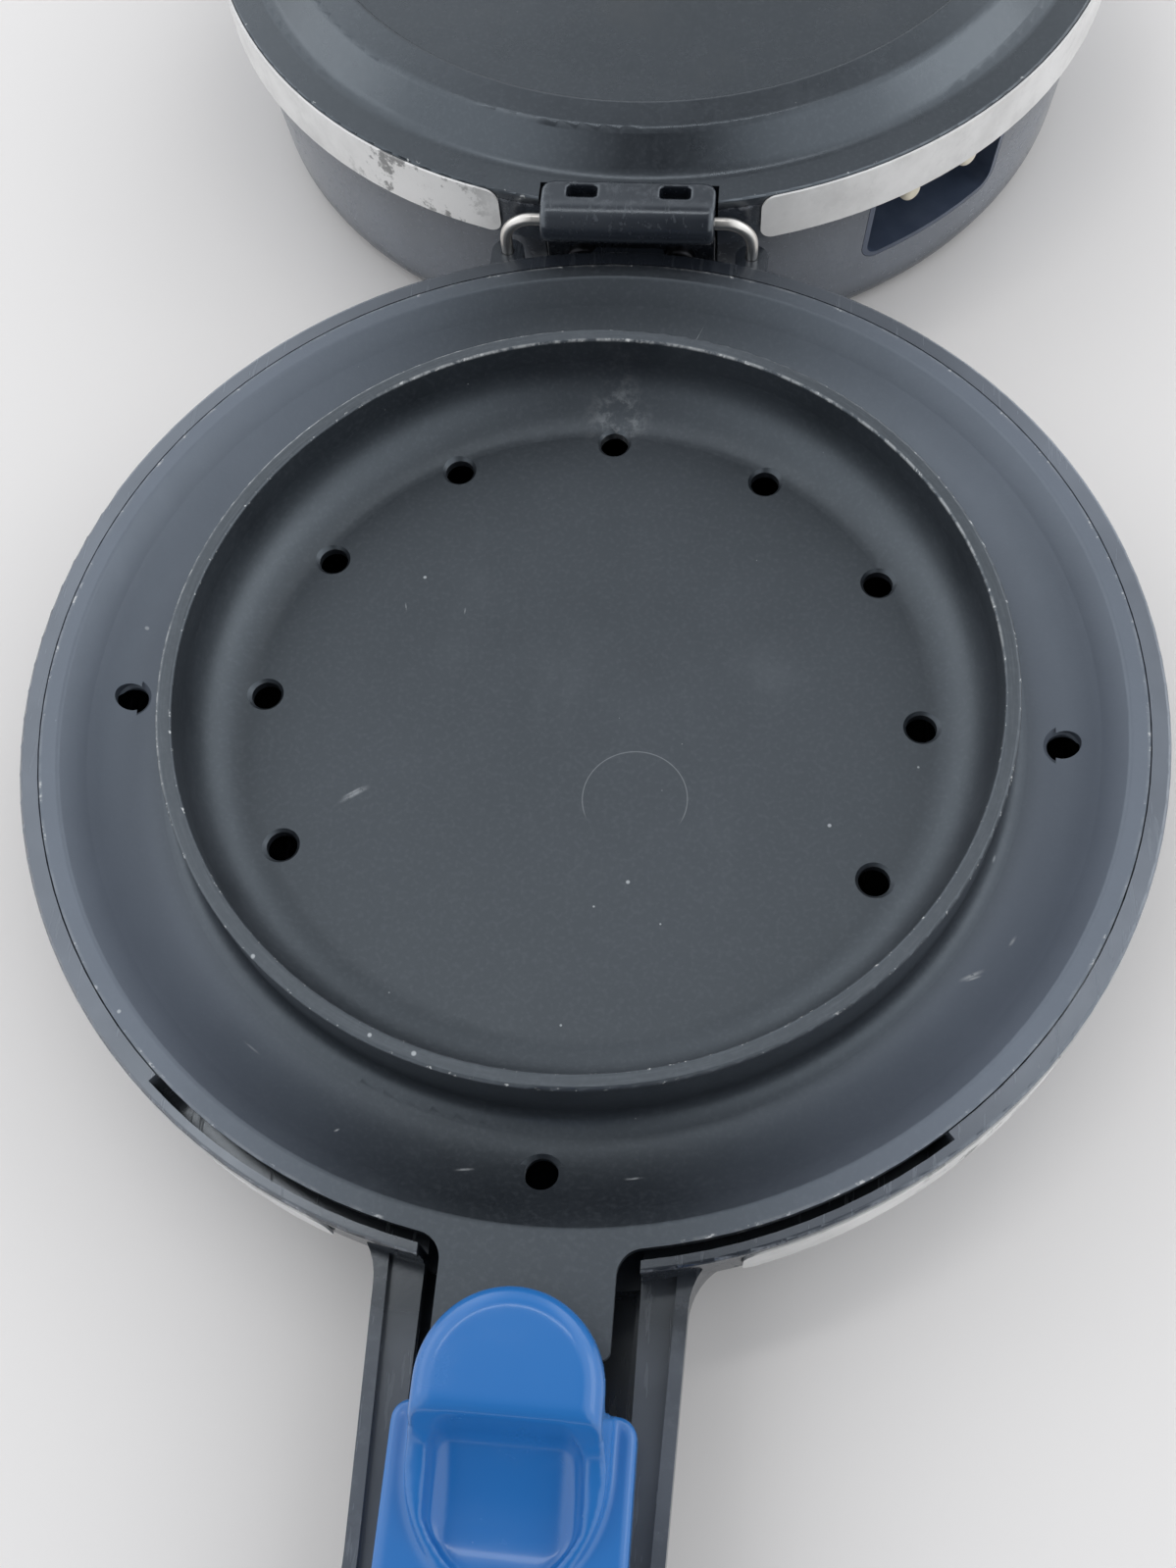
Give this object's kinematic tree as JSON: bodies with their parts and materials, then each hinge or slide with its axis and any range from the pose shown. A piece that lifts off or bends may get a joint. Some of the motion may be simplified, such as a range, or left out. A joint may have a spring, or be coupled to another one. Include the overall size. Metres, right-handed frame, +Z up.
{
  "type": "hamburger cooker",
  "caption": "Small clamshell electric hamburger cooker, open flat: round pan with a cooking tray and a long latching handle, and a heating head hinged behind it.",
  "frame": {"origin": "on the table, at the middle of the open object's length and width", "axes": "+Y from the handle towards the heating head, +Z up, +X to the right seen from the handle"},
  "size_m": [0.1654, 0.4415, 0.0441],
  "materials": {
    "housing": "moulded, semi-gloss, lightly worn",
    "band": "satin foil band, worn",
    "coated_cast": "dark non-stick coating",
    "latch": "glossy blue moulding",
    "wire": "bright drawn wire",
    "fasteners": "zinc plated",
    "dark_fasteners": "black oxide",
    "inlet": "moulded",
    "pins": "plated",
    "feet": "moulded rubber",
    "element_sheath": "heat-tinted tube",
    "thermostat": "plain",
    "shield": "bright sheet",
    "insulation": "glass fibre felt",
    "insulator": "moulded, heat resistant",
    "lead_sleeve": "glass fibre sleeve"
  },
  "bodies": {
    "base": {"base_shell": "housing", "base_trim_band": "band", "cooking_tray": "coated_cast", "base_feet": "feet"},
    "latch": {"latch_slide": "latch", "latch_retainer": "fasteners", "latch_screws": "fasteners"},
    "bail": {"bail_wire": "wire", "bail_clips": "fasteners"},
    "head": {"head_shell": "housing", "head_trim_band": "band", "head_plate": "coated_cast", "hinge_barrel": "housing", "hinge_screws": "dark_fasteners", "heating_element": "element_sheath", "element_clamp": "fasteners", "clamp_screws": "fasteners", "thermal_cutout": "thermostat", "cutout_screws": "fasteners", "heat_shield": "shield", "insulation_pad": "insulation", "plate_screws": "fasteners", "inlet_guard": "inlet", "inlet_block": "insulator", "terminal_pins": "pins", "internal_leads": "lead_sleeve"}
  },
  "joints": [
    {"name": "bail_float", "type": "slide", "parent": "base", "child": "bail", "axis": [0, 0, 1], "range_m": [-0.0027, 0]},
    {"name": "head_hinge", "type": "hinge", "parent": "bail", "child": "head", "pos_m": [0, 0.0554, 0.0358], "axis": [1, 0, 0], "range_deg": [0, 180]},
    {"name": "latch_travel", "type": "slide", "parent": "base", "child": "latch", "axis": [0, 1, 0], "range_m": [0, 0.0055]}
  ]
}
